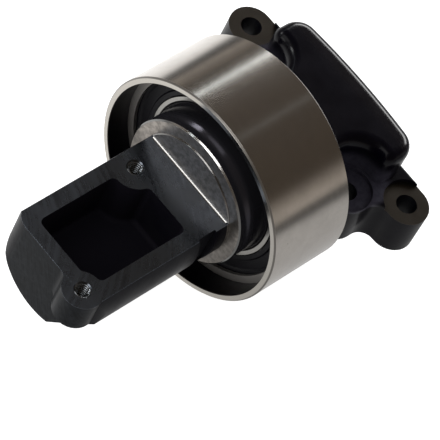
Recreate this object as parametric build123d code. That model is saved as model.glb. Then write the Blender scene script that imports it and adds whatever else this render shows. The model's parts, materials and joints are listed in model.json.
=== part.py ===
from build123d import *
import math
import os

os.makedirs("parts", exist_ok=True)

# A timing belt idler pulley on its own cast bracket. The pulley turns on the Y axis. The origin is on that
# axis at the middle of the tyre. The nose points to -Y, the bolting face looks down, and +Z is up.
# All sizes are in millimetres.

# Tyre that the belt runs on
tyre_dia = 76.0
tyre_wall = 2.0
tyre_width = 32.0
tyre_edge_chamfer = 0.5
tyre_lip_width = 2.0
tyre_lip_height = 2.0

# Sealed ball bearing, 50 x 72 x 12 in a tyre of 76. Heights and depths are radial.
bearing_section = 11.0
bearing_width = 12.0
bearing_chamfer = 0.6
ball_dia = 6.75
ball_count = 16
first_ball_deg = 7.0
race_clearance = 0.05
race_conformity = 0.52
inner_land_height = 3.4
outer_land_height = 3.3
inner_seal_step_height = 2.15
outer_seal_groove_depth = 1.45
seal_thickness = 1.0
seal_recess = 0.3
seal_side_gap = 0.3
seal_lip_gap = 0.12
seal_lip_length = 0.5
seal_lip_width = 1.4

# Riveted ribbon cage
cage_sheet = 0.6
cage_width = 2.8
cage_pocket_gap = 0.15
rivet_dia = 1.0
rivet_head_dia = 1.8
rivet_head_height = 0.4

# Snap ring that holds the bearing in the tyre
snap_thickness = 1.2
snap_width = 3.0
snap_groove_depth = 0.6
snap_groove_gap = 0.1
snap_gap_deg = 14.0
snap_gap_at_deg = 55.0

# Spindle, turned on the front of the bracket
hub_undercut = 0.55
hub_stand_out = 1.5
hub_chamfer = 0.5
seat_lead_in = 1.2
shoulder_height = 1.8
shoulder_length = 1.5
neck_undercut = 3.0
neck_gap_to_tyre = 4.0
neck_taper_length = 12.0
neck_taper_height = 14.0

# Nose, a round stub with a milled flat
nose_dia = 40.0
nose_collar = 0.4
collar_edge_chamfer = 0.3
nose_length = 56.0
nose_corner = 7.0
nose_end_chamfer = 0.8
flat_height = 7.9
thread_core_dia = 5.0
thread_depth = 10.5
thread_countersink = 0.35
thread_half_spacing_x = 12.2
first_thread_from_hub = 12.7
thread_spacing_y = 41.9
end_boss_radius = 6.6
end_boss_height = 11.5
end_boss_fillet = 3.6
flat_root_round = 0.9

# Sloping relief under the end boss, a plane through one point of the end face's rim
relief_from_middle = 6.2
relief_below_axis = 19.0
relief_turn_deg = 31.8
relief_tilt_deg = 32.0

# Cored pocket in the nose's flat
pocket_half_width = 13.1
pocket_root_wall = 13.5
pocket_end_wall = 5.0
pocket_depth = 18.5
pocket_corner = 2.0
pocket_floor_round = 1.6
first_boss_radius = 7.8
second_boss_radius = 6.3

# Notch in the nose's flank, beside the root of the flat
notch_from_hub = 5.4
notch_length = 6.9
notch_depth = 2.4
notch_drop = 16.0

# Mounting base and its four bolts
base_depth = 23.2
base_top_drop = 6.0
base_lug_radius = 8.4
front_bolt_x = 24.5
rear_bolt_x = 38.5
front_bolt_y = 34.5
rear_bolt_y = 48.7
bolt_hole_dia = 7.0
spotface_radius = 8.25
spotface_depth = 1.6
ear_radius = 7.6
ear_web_fillet = 5.0
base_edge_round = 1.0

# Raised housing on the base
housing_half_width = 29.0
housing_rear_bow = 1.6
housing_neck_half_width = 15.7
housing_height = 8.0
housing_corner = 7.0
housing_wedge_round = 3.5
housing_top_round = 4.0
bolt_well_radius = 8.8

# Cored hollow in the underside
core_half_width = 15.0
core_front_wall = 3.0
core_rear_wall = 6.0
core_roof = 6.0
core_corner = 4.0
core_roof_round = 2.4

# Places along the axis that several pieces share
tyre_front = -tyre_width / 2
tyre_rear = tyre_width / 2
bearing_front = -bearing_width / 2
bearing_rear = bearing_width / 2
hub_face = tyre_front - hub_stand_out
flat_root = hub_face - nose_collar
nose_end = hub_face - nose_length
first_thread_y = hub_face - first_thread_from_hub
second_thread_y = first_thread_y - thread_spacing_y
neck_end = tyre_rear + neck_gap_to_tyre
base_rear = rear_bolt_y + ear_radius
base_front = front_bolt_y - base_lug_radius
base_half_width = front_bolt_x + base_lug_radius
spotface_z = -base_top_drop - spotface_depth

bearing_outer = tyre_dia / 2 - tyre_wall
bearing_inner = bearing_outer - bearing_section
inner_land = bearing_inner + inner_land_height
inner_seal_step = bearing_inner + inner_seal_step_height
outer_land = bearing_outer - outer_land_height
outer_seal_groove = outer_land + outer_seal_groove_depth
hub_radius = bearing_inner - hub_undercut
neck_radius = bearing_inner - neck_undercut
pitch_radius = (bearing_inner + bearing_outer) / 2
ball_radius = ball_dia / 2
race_radius = ball_dia * race_conformity
cage_inner = pitch_radius - cage_width / 2
cage_outer = pitch_radius + cage_width / 2
pocket_radius = ball_radius + cage_pocket_gap
ball_angle = 360.0 / ball_count


def save(shape, node):
    """Writes one node's solids to its file."""
    solids = shape.solids()
    whole = solids[0] if len(solids) == 1 else Compound(children=list(solids))
    whole.label = node
    export_step(whole, f"parts/{node}.step")
    print(node, len(solids), round(sum(s.volume for s in solids), 1))


def turned(*corners):
    """A solid of revolution about the Y axis from corners given as (radius, y)."""
    return revolve(make_face(Polyline(*corners, close=True)), Axis.Y)


def tube(inner, outer, start, end):
    """A plain ring about the Y axis."""
    return turned((inner, start), (outer, start), (outer, end), (inner, end))


def rod(radius, start, end):
    """A plain round bar along the Y axis."""
    return turned((0, start), (radius, start), (radius, end), (0, end))


def upright(radius, x, y, low, high):
    """A round bar parallel to Z."""
    return Pos(x, y, (low + high) / 2) * Cylinder(radius, high - low)


def block(x_low, x_high, y_low, y_high, z_low, z_high):
    """A box from its limits."""
    size = (x_high - x_low, y_high - y_low, z_high - z_low)
    return Pos((x_low + x_high) / 2, (y_low + y_high) / 2, (z_low + z_high) / 2) * Box(*size)


def pulley_tyre():
    """The steel tyre, with a lip behind the bearing and a groove for the snap ring in front of it."""
    outer = tyre_dia / 2
    bore = bearing_outer
    cut = tyre_edge_chamfer
    shell = turned(
        (bore, tyre_front),
        (outer - cut, tyre_front),
        (outer, tyre_front + cut),
        (outer, tyre_rear - cut),
        (outer - cut, tyre_rear),
        (bore, tyre_rear),
        (bore, bearing_rear + tyre_lip_width),
        (bore - tyre_lip_height, bearing_rear + tyre_lip_width),
        (bore - tyre_lip_height, bearing_rear),
        (bore, bearing_rear),
    )
    groove = tube(
        bore - snap_groove_depth,
        bore + snap_groove_depth,
        bearing_front - snap_thickness - snap_groove_gap,
        bearing_front,
    )
    return shell - groove


def snap_ring():
    """A flat open ring that sits in the tyre's groove against the bearing."""
    outer = bearing_outer + snap_groove_depth - snap_groove_gap
    ring = tube(outer - snap_width, outer, bearing_front - snap_thickness, bearing_front)
    gap_width = 2 * outer * math.sin(math.radians(snap_gap_deg / 2))
    cutter = Pos(outer, bearing_front - snap_thickness / 2, 0) * Box(3 * snap_width, 3 * snap_thickness, gap_width)
    return ring - Rot(0, -snap_gap_at_deg, 0) * cutter


def bearing_inner_ring():
    """The inner ring, stepped down at both sides for the seal lips."""
    bore = bearing_inner
    land = inner_land
    step = inner_seal_step
    side = bearing_width / 2
    inset = side - seal_recess - seal_thickness - seal_side_gap
    cut = bearing_chamfer
    ring = turned(
        (bore + cut, -side),
        (step - cut / 2, -side),
        (step, -side + cut / 2),
        (step, -inset),
        (land, -inset),
        (land, inset),
        (step, inset),
        (step, side - cut / 2),
        (step - cut / 2, side),
        (bore + cut, side),
        (bore, side - cut),
        (bore, -side + cut),
    )
    centre = pitch_radius - ball_radius - race_clearance + race_radius
    return ring - revolve(Pos(centre, 0) * Circle(race_radius), Axis.Y)


def bearing_outer_ring():
    """The outer ring, grooved at both sides for the seals' outer edges."""
    outer = bearing_outer
    land = outer_land
    groove = outer_seal_groove
    side = bearing_width / 2
    inset = side - seal_recess - seal_thickness
    cut = bearing_chamfer
    ring = turned(
        (groove, -side),
        (outer - cut, -side),
        (outer, -side + cut),
        (outer, side - cut),
        (outer - cut, side),
        (groove, side),
        (groove, inset),
        (land, inset),
        (land, -inset),
        (groove, -inset),
    )
    centre = pitch_radius + ball_radius + race_clearance - race_radius
    return ring - revolve(Pos(centre, 0) * Circle(race_radius), Axis.Y)


def bearing_seal(side):
    """A rubber seal seated in the outer ring, its lip just clear of the inner ring. Side is -1 or +1."""
    outer = outer_seal_groove
    lip = inner_seal_step + seal_lip_gap
    face = side * (bearing_width / 2 - seal_recess)
    back = face - side * seal_thickness
    dish = face - side * seal_thickness * seal_lip_length
    inner_edge = lip + seal_lip_width
    outer_edge = outer_land
    return turned(
        (lip, face),
        (inner_edge, face),
        (inner_edge + seal_thickness / 2, dish),
        (outer_edge - seal_thickness / 2, dish),
        (outer_edge, face),
        (outer, face),
        (outer, back),
        (lip, back),
    )


def round_ring(shape, share=0.0):
    """Copies of a shape at every ball's place. A share of 0.5 puts them midway between the balls."""
    angles = [first_ball_deg + (number + share) * ball_angle for number in range(ball_count)]
    return [Rot(0, angle, 0) * Pos(pitch_radius, 0, 0) * shape for angle in angles]


def cage_half(side):
    """One pressed half of the ribbon cage: flat lands between the balls and a round cup over each ball."""
    reach = pocket_radius + cage_sheet
    ribbon = tube(cage_inner, cage_outer, 0, side * cage_sheet)
    band = tube(cage_inner, cage_outer, 0, side * reach)
    cups = [cup & band for cup in round_ring(Sphere(reach))]
    rivet_hole = Rot(90, 0, 0) * Cylinder(rivet_dia / 2, 4 * cage_sheet)
    half = ribbon + cups
    half -= round_ring(Sphere(pocket_radius))
    return half - round_ring(rivet_hole, 0.5)


def cage_rivets():
    """The rivets that close the cage, one between each two balls."""
    shank = turned(
        (0, -cage_sheet - rivet_head_height),
        (rivet_head_dia / 2 - rivet_head_height / 2, -cage_sheet - rivet_head_height),
        (rivet_head_dia / 2, -cage_sheet),
        (rivet_dia / 2, -cage_sheet),
        (rivet_dia / 2, cage_sheet),
        (rivet_head_dia / 2, cage_sheet),
        (rivet_head_dia / 2 - rivet_head_height / 2, cage_sheet + rivet_head_height),
        (0, cage_sheet + rivet_head_height),
    )
    return Compound(children=round_ring(shank, 0.5))


def nose_pocket():
    """The cored pocket: a rectangle that gives way to the two thread bosses."""
    y_low = nose_end + pocket_end_wall
    y_high = hub_face - pocket_root_wall
    outline = Pos(0, (y_low + y_high) / 2) * Rectangle(2 * pocket_half_width, y_high - y_low)
    outline -= Pos(-thread_half_spacing_x, first_thread_y) * Circle(first_boss_radius)
    outline -= Pos(thread_half_spacing_x, second_thread_y) * Circle(second_boss_radius)
    outline = fillet(outline.vertices(), pocket_corner)
    cut = extrude(Pos(0, 0, flat_height - pocket_depth) * outline, pocket_depth + 1)
    return fillet(cut.faces().sort_by(Axis.Z)[0].edges(), pocket_floor_round)


def flank_notch():
    """A cast notch in the nose's flank, beside the root of the flat."""
    radius = nose_dia / 2
    y_high = hub_face - notch_from_hub
    return block(radius - notch_depth, radius + 1, y_high - notch_length, y_high, flat_height - notch_drop, radius)


def nose_body():
    """The round stub, its end corners rounded in plan and its lower end corner relieved."""
    radius = nose_dia / 2
    outline = Pos(0, (nose_end + hub_face) / 2) * Rectangle(nose_dia, hub_face - nose_end)
    outline = fillet(outline.vertices().group_by(Axis.Y)[0], nose_corner)
    stub = chamfer(rod(radius, nose_end, hub_face).edges().group_by(Axis.Y)[0], nose_end_chamfer)
    stub = stub & extrude(Pos(0, 0, -radius) * outline, nose_dia)
    slope = Pos(relief_from_middle, nose_end, -relief_below_axis)
    slope = slope * Rot(0, 0, -relief_turn_deg) * Rot(0, relief_tilt_deg, 0)
    return stub - slope * Pos(radius, 0, 0) * Box(nose_dia, 2 * nose_dia, 2 * nose_dia)


def nose():
    """The stub in front of the hub: flat, end boss, pocket, two tapped holes and the flank notch."""
    radius = nose_dia / 2
    boss_end = second_thread_y - end_boss_radius
    collar = chamfer(rod(radius, flat_root, hub_face + 1).edges().group_by(Axis.Y)[0], collar_edge_chamfer)
    stub = nose_body()
    stub += upright(end_boss_radius, thread_half_spacing_x, second_thread_y, flat_height - end_boss_height, radius)
    stub -= block(-radius, radius, boss_end, hub_face, flat_height, radius + 1)
    stub += collar
    root = [e for e in stub.edges().filter_by(Axis.X) if abs(e.center().Y - flat_root) < 0.01]
    stub = fillet(root, flat_root_round)
    joint = [e for e in stub.edges().filter_by(Axis.Z) if abs(e.center().Y - nose_end) < nose_end_chamfer / 2]
    stub = fillet(joint, end_boss_fillet)
    stub -= nose_pocket()
    stub -= flank_notch()
    for x, y in ((-thread_half_spacing_x, first_thread_y), (thread_half_spacing_x, second_thread_y)):
        stub -= upright(thread_core_dia / 2, x, y, flat_height - thread_depth, flat_height + 1)
        cone_top = thread_core_dia / 2 + 2 * thread_countersink
        cone = Cone(thread_core_dia / 2 - thread_countersink, cone_top, 3 * thread_countersink)
        stub -= Pos(x, y, flat_height - thread_countersink / 2) * cone
    return stub


def spindle():
    """The turned hub, bearing seat, shoulder and neck, which taper into the housing."""
    shoulder = bearing_inner + shoulder_height
    shoulder_end = bearing_rear + shoulder_length
    return turned(
        (0, hub_face),
        (hub_radius - hub_chamfer, hub_face),
        (hub_radius, hub_face + hub_chamfer),
        (hub_radius, bearing_front - seat_lead_in),
        (bearing_inner, bearing_front),
        (bearing_inner, bearing_rear),
        (shoulder, bearing_rear),
        (shoulder, shoulder_end),
        (neck_radius, shoulder_end + shoulder - neck_radius),
        (neck_radius, neck_end),
        (neck_radius - neck_taper_height, neck_end + neck_taper_length),
        (0, neck_end + neck_taper_length),
    )


def base():
    """The mounting base with an ear at each rear corner, up to the level of its cast top."""
    middle = (base_front + base_rear) / 2
    plate = Pos(0, middle) * Rectangle(2 * base_half_width, base_rear - base_front)
    ears = Pos(0, rear_bolt_y) * SlotCenterToCenter(2 * rear_bolt_x, 2 * ear_radius)
    front = plate.vertices().group_by(Axis.Y)[0]
    plate = fillet(front, base_lug_radius - 0.01)
    outline = plate + ears
    ear_front = rear_bolt_y - ear_radius
    webs = [v for v in outline.vertices() if abs(v.Y - ear_front) < 0.01 and abs(v.X) < base_half_width + 0.01]
    outline = fillet(webs, ear_web_fillet)
    slab = extrude(Pos(0, 0, -base_depth) * outline, base_depth - base_top_drop)
    return fillet(slab.faces().sort_by(Axis.Z)[-1].edges(), base_edge_round)


def housing():
    """The raised housing: narrow beside the front bolts, wide and bowed behind them, with a rounded top."""
    y_mid = (neck_end + base_rear) / 2
    outline = Pos(0, y_mid) * Rectangle(2 * housing_neck_half_width, base_rear - neck_end)
    corners = ((-housing_half_width, base_rear), (0, base_rear + housing_rear_bow), (housing_half_width, base_rear))
    wide = Curve() + ThreePointArc(*corners)
    wide += Polyline(corners[2], (housing_half_width, front_bolt_y), (-housing_half_width, front_bolt_y), corners[0])
    outline += make_face(wide)
    for side in (-1, 1):
        outline -= Pos(side * front_bolt_x, front_bolt_y) * Circle(bolt_well_radius)
    wall_ends = [v for v in outline.vertices() if abs(v.X) > housing_half_width - 0.01]
    outline = fillet([v for v in wall_ends if v.Y > base_rear - 0.01], housing_corner)
    wall_ends = [v for v in outline.vertices() if abs(v.X) > housing_half_width - 0.01]
    outline = fillet([v for v in wall_ends if v.Y < rear_bolt_y], housing_wedge_round)
    tall = extrude(Pos(0, 0, 1 - base_depth) * outline, base_depth - 1 + housing_height)
    rim = [e for e in tall.faces().sort_by(Axis.Z)[-1].edges() if e.center().Y > neck_end + 1]
    return fillet(rim, housing_top_round)


def underside_core():
    """The hollow that leaves even walls in the base, open at the bolting face."""
    y_low = base_front + core_front_wall
    y_high = base_rear - core_rear_wall
    outline = Pos(0, (y_low + y_high) / 2) * RectangleRounded(2 * core_half_width, y_high - y_low, core_corner)
    height = base_depth + housing_height - core_roof
    core = extrude(Pos(0, 0, -base_depth) * outline, height)
    return fillet(core.faces().sort_by(Axis.Z)[-1].edges(), core_roof_round)


def spindle_bracket():
    """The one casting: nose, spindle, housing and base, with its four bolt holes."""
    casting = spindle() + nose()
    casting = casting + base()
    casting = casting + housing()
    casting -= underside_core()
    for x, y in ((front_bolt_x, front_bolt_y), (rear_bolt_x, rear_bolt_y)):
        for side in (-1, 1):
            casting -= upright(spotface_radius, side * x, y, spotface_z, -base_top_drop + 1)
            casting -= upright(bolt_hole_dia / 2, side * x, y, -base_depth - 1, spotface_z + 1)
    return casting


save(spindle_bracket(), "spindle_bracket")
save(pulley_tyre(), "pulley_tyre")
save(snap_ring(), "snap_ring")
save(bearing_inner_ring(), "bearing_inner_ring")
save(bearing_outer_ring(), "bearing_outer_ring")
save(bearing_seal(-1), "front_seal")
save(bearing_seal(1), "rear_seal")
save(cage_half(-1), "front_cage_half")
save(cage_half(1), "rear_cage_half")
save(cage_rivets(), "cage_rivets")
for number, ball in enumerate(round_ring(Sphere(ball_radius)), 1):
    save(ball, f"ball_{number:02d}")
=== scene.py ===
import json

import bpy
from mathutils import Matrix, Vector


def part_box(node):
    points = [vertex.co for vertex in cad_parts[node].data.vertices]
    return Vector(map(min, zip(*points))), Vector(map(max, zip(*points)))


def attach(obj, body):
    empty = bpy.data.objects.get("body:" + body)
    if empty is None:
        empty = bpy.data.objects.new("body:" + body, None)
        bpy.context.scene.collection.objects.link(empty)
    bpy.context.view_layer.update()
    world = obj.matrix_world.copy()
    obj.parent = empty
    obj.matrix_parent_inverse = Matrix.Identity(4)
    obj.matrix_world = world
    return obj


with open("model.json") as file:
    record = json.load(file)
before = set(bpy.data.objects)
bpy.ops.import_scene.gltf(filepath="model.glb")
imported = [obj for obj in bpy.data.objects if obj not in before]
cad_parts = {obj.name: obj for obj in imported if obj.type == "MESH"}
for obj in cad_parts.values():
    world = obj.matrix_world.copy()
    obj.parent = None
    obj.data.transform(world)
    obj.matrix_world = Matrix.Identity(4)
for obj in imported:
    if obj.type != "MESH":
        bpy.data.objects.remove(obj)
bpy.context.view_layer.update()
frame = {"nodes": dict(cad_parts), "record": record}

bl_info = {
    "name": "Timing belt idler pulley",
    "version": (1, 0, 0),
    "blender": (4, 5, 0),
    "location": "3D View > Sidebar > Idler",
    "description": "Dresses the idler pulley: black casting, machined faces, ground tyre, sealed bearing",
    "category": "Object",
}

MM = 0.001

# Places on the object in millimetres, read from the frame.
TYRE_LOW, TYRE_HIGH = (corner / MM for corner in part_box("pulley_tyre"))
CASTING_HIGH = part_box("spindle_bracket")[1] / MM
MOUNTS = {mount["name"]: mount for mount in frame["record"]["mounts"]}


def mount_place(name):
    """A mount's position in millimetres."""
    return Vector(MOUNTS[name]["pos_m"]) / MM


FLAT_Z = mount_place("nose_pad").z
THREADS = [mount_place("nose_thread_rear"), mount_place("nose_thread_front")]
THREAD_RADIUS = MOUNTS["nose_thread_rear"]["dims"]["r_mm"]
THREAD_LENGTH = MOUNTS["nose_thread_rear"]["dims"]["length_mm"]
REAR_BOLT_X = MOUNTS["rear_bolt_holes"]["dims"]["spacing_x_mm"] / 2
REAR_BOLT_Y = mount_place("rear_bolt_holes").y

# The other places and sizes, in millimetres.
POCKET_HALF_WIDTH = 13.1
POCKET_REAR = -31.0
POCKET_FRONT = -68.5
POCKET_FLOOR = -10.6
HUB_FACE_Y = -17.5
HUB_RADIUS = 24.45
COLLAR_RADIUS = 20.0
FLAT_ROOT_Y = -17.9
NOSE_END_Y = -73.5
SPOTFACE_Z = -7.6
SPOTFACE_RADIUS = 8.25
# Height above which the hub's edge chamfer gets a painted highlight.
HUB_EDGE_HIGHLIGHT_Z = 20.0
HUB_SIDE_END_Y = -5.5
FOOT_START_Y = 16.0
WELLS_X = (15.0, 34.0)
WELLS_Y = (27.0, 48.0)
TYRE_BORE_RADIUS = 36.4

# The hub's rounded shoulder is only a bump: its middle, its length, and its rise in depths of the bump.
CASTING_BUMP = 0.02
SHOULDER_Y = -13.6
SHOULDER_LENGTH = 4.6
SHOULDER_RISE = 90.0

# A thread's ridge: the radius of its section, its top below the flat, and its share of the hole's depth.
RIDGE_RADIUS = 0.24
RIDGE_DROP = 0.3
RIDGE_SHARE = 0.94
RIDGE_SIDES = 6
TURN_STEPS = 36


class Wire:
    """One socket of a shader tree. Its operators add Math nodes."""

    def __init__(self, tree, socket=None):
        self.tree = tree
        self.socket = socket

    def node(self, kind, settings=None, inputs=None, output=0):
        """Adds a node: its settings are set first, then its sockets get their values or links."""
        made = self.tree.nodes.new("ShaderNode" + kind)
        for name, value in (settings or {}).items():
            setattr(made, name, value)
        for name, value in (inputs or {}).items():
            if isinstance(value, Wire):
                self.tree.links.new(value.socket, made.inputs[name])
            else:
                made.inputs[name].default_value = value
        return Wire(self.tree, made.outputs[output])

    def beside(self, output):
        """Another output of the same node."""
        return Wire(self.tree, self.socket.node.outputs[output])

    def math(self, operation, *values):
        """A Math node on these values."""
        return self.node("Math", {"operation": operation}, dict(enumerate(values)))

    def __add__(self, other):
        return self.math("ADD", self, other)

    def __radd__(self, other):
        return self.math("ADD", other, self)

    def __sub__(self, other):
        return self.math("SUBTRACT", self, other)

    def __rsub__(self, other):
        return self.math("SUBTRACT", other, self)

    def __mul__(self, other):
        return self.math("MULTIPLY", self, other)

    def __rmul__(self, other):
        return self.math("MULTIPLY", other, self)

    def above(self, edge, soft=0.06):
        """1 where the value is above the edge, 0 below, with a soft step."""
        inputs = {"Value": self, "From Min": edge - soft / 2, "From Max": edge + soft / 2}
        return self.node("MapRange", {"interpolation_type": "SMOOTHSTEP"}, inputs)

    def below(self, edge, soft=0.06):
        """1 where the value is below the edge, 0 above, with a soft step."""
        return 1 - self.above(edge, soft)

    def between(self, low, high, soft=0.06):
        """1 between two edges."""
        return self.above(low, soft) * self.below(high, soft)

    def mapped(self, low, high, start=0.0, end=1.0):
        """The value carried from one range to another in a straight line, and held at its ends."""
        inputs = {"Value": self, "From Min": low, "From Max": high, "To Min": start, "To Max": end}
        return self.node("MapRange", inputs=inputs)


def place(root):
    """The object coordinates in millimetres as x, y and z, and the radius about the turning axis."""
    coordinates = root.node("TexCoord", output="Object")
    axes = root.node("SeparateXYZ", inputs={0: coordinates})
    x, y, z = (axes.beside(index) * (1 / MM) for index in range(3))
    return x, y, z, distance(x, z)


def distance(across, along):
    """The length of a vector with these two parts."""
    square = across * across + along * along
    return square.math("SQRT", square)


def stretched(x, y, z, scales):
    """A vector whose three parts are scaled one by one, for a texture that runs in one direction."""
    inputs = {axis: value * scale for axis, value, scale in zip("XYZ", (x, y, z), scales)}
    return x.node("CombineXYZ", inputs=inputs)


def noise(vector, scale, detail=3.0, roughness=0.55):
    """A noise value about 0.5."""
    inputs = {"Vector": vector, "Scale": scale, "Detail": detail, "Roughness": roughness}
    return vector.node("TexNoise", inputs=inputs)


def mixed(mask, first, second):
    """The first colour where the mask is 0 and the second where it is 1."""
    colours = [colour if isinstance(colour, Wire) else (*colour, 1.0) for colour in (first, second)]
    return mask.node("Mix", {"data_type": "RGBA"}, {0: mask, 6: colours[0], 7: colours[1]}, output=2)


def scaled(colour, factor):
    """A colour with every part multiplied by a factor."""
    return [part * factor for part in colour]


def material(name, build):
    """A material whose Principled shader gets what build returns for each of its sockets."""
    made = bpy.data.materials.new(name)
    made.use_nodes = True
    tree = made.node_tree
    shader = next(node for node in tree.nodes if node.type == "BSDF_PRINCIPLED")
    for socket, value in build(Wire(tree)).items():
        if isinstance(value, Wire):
            tree.links.new(value.socket, shader.inputs[socket])
        else:
            shader.inputs[socket].default_value = value
    return made


def bumped(height, strength, depth):
    """A bump from a height, whose unit is this depth in millimetres."""
    return height.node("Bump", inputs={"Strength": strength, "Distance": depth * MM, "Height": height})


def dress(names, finish):
    """Gives these CAD nodes one material."""
    for name in names:
        mesh = frame["nodes"][name].data
        mesh.materials.clear()
        mesh.materials.append(finish)


def ground_steel(tint, roughness, bore=None):
    """Steel ground round the Y axis, with fine rings, stains and specks.

    Where the radius of a bore is given, the bore is painted near black as shade, and the end face and its
    outer edge get painted shade: the face a little darker, the edge much darker and rougher.
    """

    def build(root):
        x, y, z, radius = place(root)
        even = stretched(x, y, z, (1.0, 1.0, 1.0))
        rings = noise(stretched(x, y, z, (0.04, 4.0, 0.04)), 1.0, 4.0)
        stains = noise(even, 0.09, 6.0, 0.7)
        specks = noise(even, 1.1, 2.0).above(0.73, 0.08)
        shade = mixed(stains.above(0.5, 0.5), tint, scaled(tint, 0.88))
        shade = mixed(specks * 0.3, shade, (0.12, 0.10, 0.08))
        rough = roughness + (rings - 0.5) * 0.1 + (stains - 0.5) * 0.06
        if bore:
            # Painted shade: the end face is a little darker and its outer edge much darker than the ground
            # steel.
            face = y.below(TYRE_LOW.y + 0.04, 0.04)
            edge = y.between(TYRE_LOW.y + 0.04, TYRE_LOW.y + 0.5, 0.04)
            edge = edge * radius.between(bore + 0.8, TYRE_HIGH.z - 0.01, 0.04)
            shade = mixed(face, shade, [part * scale for part, scale in zip(tint, (0.83, 0.84, 0.83))])
            shade = mixed(edge, shade, scaled(tint, 0.4))
            rough = rough + edge * 0.2
            # Painted shade: the bore behind the end face is coloured near black.
            painted_bore_shade = radius.below(bore) * y.above(TYRE_LOW.y + 0.4, 0.5)
            shade = mixed(painted_bore_shade, shade, (0.009, 0.0078, 0.0115))
            rough = rough + painted_bore_shade * 0.22
        return {
            "Base Color": shade,
            "Metallic": 1.0,
            "Roughness": rough,
            "Normal": bumped(rings, 0.2, 0.01),
        }

    return build


def largest(values):
    """The largest of several masks."""
    first = values[0]
    for value in values[1:]:
        first = first.math("MAXIMUM", first, value)
    return first


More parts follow.
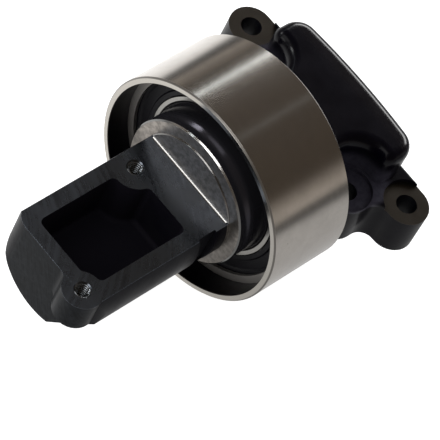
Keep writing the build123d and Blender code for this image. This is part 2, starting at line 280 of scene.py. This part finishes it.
def black_casting(settings):
    """Black paint on a casting: glossy on the foot, satin on the nose, with bare machined faces."""
    paint = tuple(settings.paint)
    satin = tuple(settings.satin)
    bare = tuple(settings.bare_iron)
    bright = tuple(settings.bright_iron)
    seat_iron = tuple(settings.seat_iron)

    def build(root):
        x, y, z, radius = place(root)
        even = stretched(x, y, z, (1.0, 1.0, 1.0))
        grain = noise(even, 0.9, 4.0)
        cloud = noise(even, 0.13, 3.0)
        patches = noise(even, 0.5, 5.0, 0.7)
        milled = noise(stretched(x, y, z, (0.1, 2.4, 0.1)), 1.0, 3.0)
        fly_cut = noise(root.node("CombineXYZ", inputs={"X": distance(x + 30.0, y + 95.0) * 0.5}), 1.0, 3.0)
        turned = noise(root.node("CombineXYZ", inputs={"X": radius * 3.0}), 1.0, 3.0)
        scored = noise(stretched(x + z * 0.5, y, z, (2.2, 0.1, 0.12)), 1.0, 4.0)

        flat = z.between(FLAT_Z - 0.06, FLAT_Z + 0.2, 0.02) * y.below(HUB_FACE_Y - 0.3)
        on_hub = radius.below(HUB_RADIUS + 0.2)
        hub_front = y.between(HUB_FACE_Y - 0.9, HUB_FACE_Y + 0.04, 0.04) * on_hub * (1 - flat)
        root_line = y.between(FLAT_ROOT_Y - 0.95, FLAT_ROOT_Y - 0.02)
        root_line = root_line * z.between(FLAT_Z + 0.02, FLAT_Z + 0.9, 0.03)
        collar = hub_front * radius.between(COLLAR_RADIUS - 0.34, COLLAR_RADIUS + 0.04, 0.03)
        collar = collar * y.between(FLAT_ROOT_Y + 0.01, FLAT_ROOT_Y + 0.34, 0.02)
        hub_edge = y.between(HUB_FACE_Y + 0.04, HUB_FACE_Y + 0.55, 0.04) * on_hub
        hub_edge = hub_edge * radius.above(HUB_RADIUS - 0.8)
        end_face = y.below(NOSE_END_Y + 0.08, 0.05)
        seats = []
        for bolt_x in (-REAR_BOLT_X, REAR_BOLT_X):
            ring = distance(x - bolt_x, y - REAR_BOLT_Y).below(SPOTFACE_RADIUS + 0.02, 0.05)
            seats.append(ring * z.between(SPOTFACE_Z - 0.1, SPOTFACE_Z + 0.1, 0.04))
        seat = largest(seats)
        mouths = [distance(x - hole.x, y - hole.y).below(THREAD_RADIUS + 0.9) for hole in THREADS]
        tapped = largest(mouths) * z.between(FLAT_Z - THREAD_LENGTH - 0.2, FLAT_Z - 0.02, 0.02)
        hub_side = y.between(HUB_FACE_Y + 0.55, HUB_SIDE_END_Y) * radius.below(HUB_RADIUS + 0.8)
        shoulder = y.above(SHOULDER_Y, SHOULDER_LENGTH)
        foot = y.above(FOOT_START_Y, 2.0)
        far_side = y.above(CASTING_HIGH.y - 7.0, 5.0)
        width = x.math("ABSOLUTE", x)
        pocket = width.below(POCKET_HALF_WIDTH + 0.3) * y.between(POCKET_FRONT, POCKET_REAR)
        pocket = pocket * z.between(POCKET_FLOOR - 0.5, FLAT_Z - 0.05)
        wells = z.above(SPOTFACE_Z - 0.1, 0.05) * z.below(0.0, 6.0) * y.between(*WELLS_Y, 4.0)
        wells = wells * width.between(*WELLS_X, 2.0)

        # Painted light: on the foot the paint below about 3 mm height is much lighter than the paint on
        # top, lifting the shaded lower parts.
        colour = mixed(foot, satin, mixed(z.above(3.0, 5.0), (0.0045, 0.004, 0.0055), paint))
        colour = mixed(cloud.above(0.5, 0.6), colour, scaled(paint, 1.5))
        brushed = mixed(scored.above(0.5, 0.4), (0.002, 0.0026, 0.0036), (0.0095, 0.0112, 0.0135))
        brushed = mixed(patches.above(0.56, 0.2) * 0.6, brushed, (0.016, 0.018, 0.021))
        # Painted light: the bolt wells, which lie in shade, are coloured lighter than the paint, in
        # patches.
        painted_well_light = mixed(patches.above(0.5, 0.3), (0.026, 0.0235, 0.034), (0.038, 0.036, 0.048))
        colour = mixed(wells, colour, painted_well_light)
        colour = mixed(end_face, colour, brushed)
        colour = mixed(pocket, colour, (0.008, 0.007, 0.011))
        cut = mixed(fly_cut.above(0.5, 0.5), scaled(bare, 0.86), scaled(bare, 1.4))
        colour = mixed(flat, colour, mixed(cloud.above(0.5, 0.4), cut, (0.175, 0.2, 0.24)))
        colour = mixed(seat, colour, seat_iron)
        faced = mixed(patches.above(0.5, 0.35), scaled(bright, 1.15), scaled(bright, 0.6))
        colour = mixed(hub_front, colour, faced)
        # Painted shade: the hub's turned face is darkened by half towards the bottom.
        colour = mixed(hub_front * z.below(4.0, 9.0) * 0.5, colour, (0.0, 0.0, 0.0))
        colour = mixed(collar, colour, (0.2, 0.195, 0.19))
        # Painted highlight: the machined fillet at the root of the flat is coloured much brighter than the
        # other machined faces, for its bright line.
        colour = mixed(root_line, colour, (0.55, 0.545, 0.53))
        colour = mixed(tapped, colour, (0.1, 0.11, 0.125))
        # Painted highlight: the hub's edge chamfer is pale above this height and dark below it.
        chamfer_painted_highlight = mixed(z.above(HUB_EDGE_HIGHLIGHT_Z, 4.0), (0.18, 0.177, 0.172), (0.7, 0.69, 0.67))
        colour = mixed(hub_edge, colour, chamfer_painted_highlight)
        colour = mixed(hub_side, colour, (0.05, 0.048, 0.057))
        metal = largest([flat, seat, hub_front, hub_edge, hub_side * 0.7, root_line, tapped])
        roughness = 0.36 + (cloud - 0.5) * 0.2 + (grain - 0.5) * (1 - flat) * 0.1
        roughness = roughness - flat * 0.08 - hub_edge * 0.18 - hub_side * 0.16
        roughness = roughness + pocket * 0.35 + (fly_cut - 0.5) * flat * 0.16
        roughness = roughness - largest([root_line, collar, tapped]) * 0.16
        roughness = roughness + (patches - 0.5) * hub_front * 0.2
        height = grain * (1 - metal) * (1 - end_face) + fly_cut * flat * 0.3 + turned * hub_front * 0.6
        height = height + scored * end_face * 0.8 + milled * seat * 0.5 + shoulder * SHOULDER_RISE
        return {
            "Base Color": colour,
            "Metallic": metal,
            "Roughness": roughness,
            "Specular IOR Level": 0.07,
            "Coat Weight": foot * (1 - metal) * (0.12 + z.above(1.5, 3.0) * (0.1 + far_side * 0.78)),
            "Coat Roughness": 0.16,
            "Normal": bumped(height, 1.0, CASTING_BUMP),
        }

    return build


def moulded_rubber(root):
    """Black rubber with a slight moulded sheen."""
    x, y, z, _ = place(root)
    even = stretched(x, y, z, (1.0, 1.0, 1.0))
    grain = noise(even, 2.2, 3.0)
    cloud = noise(even, 0.3, 2.0)
    return {
        "Base Color": mixed(cloud.above(0.5, 0.5), (0.0045, 0.0042, 0.0062), (0.0075, 0.007, 0.0095)),
        "Roughness": 0.46 + (grain - 0.5) * 0.2,
        "Specular IOR Level": 0.16,
        "Normal": bumped(grain, 0.3, 0.02),
    }


class IdlerSettings(bpy.types.PropertyGroup):
    """Sizes and colours that a user would change."""

    paint: bpy.props.FloatVectorProperty(
        name="Paint",
        description="Colour of the glossy paint on the foot",
        subtype="COLOR",
        default=(0.0007, 0.0004, 0.0024),
    )
    satin: bpy.props.FloatVectorProperty(
        name="Satin black",
        description="Colour of the nose and hub",
        subtype="COLOR",
        default=(0.008, 0.008, 0.0095),
    )
    bare_iron: bpy.props.FloatVectorProperty(
        name="Milled iron",
        description="Colour of the nose's flat",
        subtype="COLOR",
        default=(0.155, 0.18, 0.225),
    )
    seat_iron: bpy.props.FloatVectorProperty(
        name="Bolt seat iron",
        description="Colour of the bolt seats",
        subtype="COLOR",
        default=(0.056, 0.049, 0.041),
    )
    bright_iron: bpy.props.FloatVectorProperty(
        name="Turned iron",
        description="Colour of the hub's turned face",
        subtype="COLOR",
        default=(0.31, 0.283, 0.255),
    )
    tyre_steel: bpy.props.FloatVectorProperty(
        name="Tyre steel",
        description="Colour of the ground tyre",
        subtype="COLOR",
        default=(0.53, 0.495, 0.455),
    )
    thread_pitch: bpy.props.FloatProperty(
        name="Thread pitch",
        description="Pitch of the two tapped holes",
        unit="LENGTH",
        default=0.001,
    )
    floor_gap: bpy.props.FloatProperty(
        name="Floor gap",
        description="Gap between the tyre and the floor",
        unit="LENGTH",
        default=0.0004,
    )


class IDLER_OT_casting(bpy.types.Operator):
    """Finishes the cast bracket"""

    bl_idname = "idler.casting"
    bl_label = "Finish casting"

    def execute(self, context):
        settings = context.scene.idler
        dress(["spindle_bracket"], material("black_casting", black_casting(settings)))
        return {"FINISHED"}


class IDLER_OT_tyre(bpy.types.Operator):
    """Finishes the ground steel tyre"""

    bl_idname = "idler.tyre"
    bl_label = "Finish tyre"

    def execute(self, context):
        tint = tuple(context.scene.idler.tyre_steel)
        dress(["pulley_tyre"], material("tyre_steel", ground_steel(tint, 0.2, TYRE_BORE_RADIUS)))
        return {"FINISHED"}


class IDLER_OT_bearing(bpy.types.Operator):
    """Finishes the bearing, its seals and the snap ring"""

    bl_idname = "idler.bearing"
    bl_label = "Finish bearing"

    def execute(self, context):
        dress(
            ["bearing_outer_ring", "bearing_inner_ring"],
            material("bearing_steel", ground_steel((0.31, 0.3, 0.28), 0.22)),
        )
        dress(["snap_ring"], material("spring_steel", ground_steel((0.35, 0.333, 0.316), 0.55)))
        dress(
            ["front_cage_half", "rear_cage_half", "cage_rivets"],
            material("cage_steel", ground_steel((0.42, 0.41, 0.4), 0.3)),
        )
        dress(
            [name for name in frame["nodes"] if name.startswith("ball_")],
            material("ball_steel", ground_steel((0.7, 0.7, 0.7), 0.08)),
        )
        dress(["front_seal", "rear_seal"], material("seal_rubber", moulded_rubber))
        return {"FINISHED"}


def thread_tree(finish):
    """A node tree that runs a small ridge round a helix."""
    tree = bpy.data.node_groups.new("thread_ridge", "GeometryNodeTree")
    tree.interface.new_socket("Geometry", in_out="OUTPUT", socket_type="NodeSocketGeometry")
    for name in ("Radius", "Length", "Pitch", "Ridge"):
        tree.interface.new_socket(name, in_out="INPUT", socket_type="NodeSocketFloat")
    nodes = tree.nodes
    start = nodes.new("NodeGroupInput")
    end = nodes.new("NodeGroupOutput")
    turns = nodes.new("ShaderNodeMath")
    turns.operation = "DIVIDE"
    helix = nodes.new("GeometryNodeCurveSpiral")
    helix.inputs["Resolution"].default_value = TURN_STEPS
    profile = nodes.new("GeometryNodeCurvePrimitiveCircle")
    profile.inputs["Resolution"].default_value = RIDGE_SIDES
    sweep = nodes.new("GeometryNodeCurveToMesh")
    sweep.inputs["Fill Caps"].default_value = True
    real = nodes.new("GeometryNodeRealizeInstances")
    paint = nodes.new("GeometryNodeSetMaterial")
    paint.inputs["Material"].default_value = finish
    for source, target in (
        (start.outputs["Length"], turns.inputs[0]),
        (start.outputs["Pitch"], turns.inputs[1]),
        (turns.outputs[0], helix.inputs["Rotations"]),
        (start.outputs["Radius"], helix.inputs["Start Radius"]),
        (start.outputs["Radius"], helix.inputs["End Radius"]),
        (start.outputs["Length"], helix.inputs["Height"]),
        (start.outputs["Ridge"], profile.inputs["Radius"]),
        (helix.outputs["Curve"], sweep.inputs["Curve"]),
        (profile.outputs["Curve"], sweep.inputs["Profile Curve"]),
        (sweep.outputs["Mesh"], real.inputs["Geometry"]),
        (real.outputs["Geometry"], paint.inputs["Geometry"]),
        (paint.outputs["Geometry"], end.inputs["Geometry"]),
    ):
        tree.links.new(source, target)
    return tree


def added(name, data):
    """A new object in the scene that holds this data."""
    made = bpy.data.objects.new(name, data)
    bpy.context.scene.collection.objects.link(made)
    return made


class IDLER_OT_threads(bpy.types.Operator):
    """Adds the helical ridge of a thread to each tapped hole"""

    bl_idname = "idler.threads"
    bl_label = "Add threads"

    def execute(self, context):
        settings = context.scene.idler
        finish = material("thread_steel", ground_steel((0.5, 0.53, 0.56), 0.18))
        tree = thread_tree(finish)
        for name, hole in zip(("rear_thread", "front_thread"), THREADS):
            mesh = bpy.data.meshes.new(name)
            carrier = added(name + "_maker", mesh)
            modifier = carrier.modifiers.new("thread", "NODES")
            values = {
                "Radius": THREAD_RADIUS * MM,
                "Length": THREAD_LENGTH * MM * RIDGE_SHARE,
                "Pitch": settings.thread_pitch,
                "Ridge": RIDGE_RADIUS * MM,
            }
            modifier.node_group = tree
            for item in tree.interface.items_tree:
                if item.in_out == "INPUT":
                    modifier[item.identifier] = values[item.name]
            depsgraph = context.evaluated_depsgraph_get()
            plain = bpy.data.meshes.new_from_object(carrier.evaluated_get(depsgraph))
            bpy.data.objects.remove(carrier)
            plain.name = name
            low_end = FLAT_Z - RIDGE_DROP - THREAD_LENGTH * RIDGE_SHARE
            plain.transform(Matrix.Translation(Vector((hole.x, hole.y, low_end)) * MM))
            piece = added(name, plain)
            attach(piece, "bracket")
        return {"FINISHED"}


def stood(spot, right, up, back):
    """The matrix of a lamp or camera that stands at a spot with these three axes."""
    return Matrix.Translation(spot) @ Matrix((right, up, back)).transposed().to_4x4()


def area_lamp(name, direction, away, size, power, colour=(1.0, 1.0, 1.0), along=(0.0, 1.0, 0.0)):
    """A rectangular lamp aimed at the object. Its second size runs along the turning axis, or as given."""
    data = bpy.data.lights.new(name, "AREA")
    data.shape = "RECTANGLE"
    data.size, data.size_y = size
    data.energy = power
    data.color = colour
    back = Vector(direction).normalized()
    across = Vector(along).cross(back).normalized()
    added(name, data).matrix_world = stood(back * away, across, back.cross(across), back)


def emptied(owner):
    """The start of a material's or world's tree, with its nodes taken out."""
    owner.use_nodes = True
    owner.node_tree.nodes.clear()
    return Wire(owner.node_tree)


def shown(shader, kind):
    """Links a shader to the output of its material or world."""
    output = shader.tree.nodes.new("ShaderNodeOutput" + kind)
    shader.tree.links.new(shader.socket, output.inputs["Surface"])


class IDLER_OT_stage(bpy.types.Operator):
    """Sets the floor, the light and the camera"""

    bl_idname = "idler.stage"
    bl_label = "Set stage"

    def execute(self, context):
        scene = context.scene
        floor_z = TYRE_LOW.z * MM - scene.idler.floor_gap
        half = 3.0
        mesh = bpy.data.meshes.new("floor")
        corners = [(x, y, floor_z) for x, y in ((-half, -half), (half, -half), (half, half), (-half, half))]
        mesh.from_pydata(corners, [], [(0, 1, 2, 3)])
        floor = added("floor", mesh)
        mesh.materials.append(self.floor_material())
        self.world(scene)
        # Name, direction, distance, size and power, and a colour where it isn't white.
        area_lamp("streak_lamp", (-0.835, 0.0, 0.55), 1.0, (0.055, 2.4), 1.05, (0.9, 1.0, 1.05))
        area_lamp("top_lamp", (0.02, 0.0, 1.0), 1.0, (0.05, 2.4), 0.07, (0.85, 0.95, 1.0))
        area_lamp("front_lamp", (-0.24, -0.58, 0.8), 1.6, (0.8, 0.7), 2.4)
        area_lamp("glint_lamp", (-0.746, -0.31, 0.59), 1.0, (0.2, 0.24), 1.3)
        area_lamp("back_lamp", (-0.24, 0.89, 0.38), 0.8, (0.9, 0.24), 3.8, along=(0.0, 0.0, 1.0))
        area_lamp("brow_lamp", (-0.17, -0.81, 0.5), 1.4, (0.8, 0.3), 2.6)
        scene.view_settings.view_transform = "Standard"
        # The camera was fitted to the photograph: its lens, its three axes and its place.
        camera_data = bpy.data.cameras.new("camera")
        camera_data.sensor_width = 36.0
        camera_data.lens = 292.3
        camera_data.clip_end = 20.0
        camera = added("camera", camera_data)
        right = Vector((0.63, 0.7188, 0.2939))
        up = Vector((-0.7383, 0.437, 0.5138))
        back = Vector((0.2409, -0.5407, 0.806))
        camera.matrix_world = stood((0.2753, -0.6016, 0.8761), right, up, back)
        scene.camera = camera
        return {"FINISHED"}

    def floor_material(self):
        """White to the camera, a shaded glow in reflections and plain white paint to every other ray."""
        made = bpy.data.materials.new("floor_white")
        root = emptied(made)
        path = root.node("LightPath", output="Is Camera Ray")
        glossy = path.beside("Is Glossy Ray")
        clear = path.beside("Is Transmission Ray")
        x, y, _, _ = place(root)
        # In reflections the floor is brightest on the left near the object, and it dims behind it.
        side = x.mapped(-60.0, 42.0, 1.38, 0.58)
        near = distance(x, y).mapped(150.0, 500.0, 1.0, 0.0)
        dim = 1 - y.above(170.0, 120.0) * 0.85
        level = path * 0.80 + glossy * dim * (0.55 + (side - 0.55) * near) + clear
        glow = root.node("Emission", inputs={"Color": (1.0, 1.0, 1.0, 1.0), "Strength": level})
        unseen = glossy.math("MAXIMUM", glossy, clear)
        matt = root.node("BsdfDiffuse", inputs={"Color": mixed(unseen, (0.8, 0.8, 0.8), (0.0, 0.0, 0.0))})
        both = root.node("AddShader", inputs={0: glow, 1: matt})
        shown(both, "Material")
        return made

    def world(self, scene):
        """White to the camera and grey as light. Reflections see a dim ceiling over a paler horizon."""
        world = bpy.data.worlds.new("studio")
        scene.world = world
        root = emptied(world)
        path = root.node("LightPath", output="Is Camera Ray")
        glossy = path.beside("Is Glossy Ray")
        way = root.node("TexCoord", output="Generated")
        axes = root.node("SeparateXYZ", inputs={0: way})
        x, y, z = (axes.beside(index) for index in range(3))
        ceiling = (z - x * 0.07).mapped(0.0, 0.29)
        behind = y.above(0.74, 0.2)
        horizon = mixed(behind, (0.56, 0.515, 0.47), (0.1, 0.1, 0.11))
        reflected = mixed(ceiling, horizon, (0.073, 0.058, 0.044))
        plain = mixed(path, (0.55, 0.55, 0.55), (1.0, 1.0, 1.0))
        colour = mixed(glossy, plain, reflected)
        shown(root.node("Background", inputs={"Color": colour, "Strength": 1.0}), "World")


class IDLER_PT_panel(bpy.types.Panel):
    """Lists the steps"""

    bl_label = "Idler pulley"
    bl_idname = "IDLER_PT_panel"
    bl_space_type = "VIEW_3D"
    bl_region_type = "UI"
    bl_category = "Idler"

    def draw(self, context):
        for step in STEPS:
            self.layout.operator(step.bl_idname)
        for name in IdlerSettings.__annotations__:
            self.layout.prop(context.scene.idler, name)


STEPS = (IDLER_OT_casting, IDLER_OT_tyre, IDLER_OT_bearing, IDLER_OT_threads, IDLER_OT_stage)
CLASSES = (IdlerSettings, *STEPS, IDLER_PT_panel)


def register():
    """Registers the classes and the settings."""
    for item in CLASSES:
        bpy.utils.register_class(item)
    bpy.types.Scene.idler = bpy.props.PointerProperty(type=IdlerSettings)


def unregister():
    """Removes the settings and the classes."""
    del bpy.types.Scene.idler
    for item in reversed(CLASSES):
        bpy.utils.unregister_class(item)


def main():
    """Runs every step in order."""
    register()
    for step in STEPS:
        group, name = step.bl_idname.split(".")
        getattr(getattr(bpy.ops, group), name)()


if __name__ == "__main__":
    main()
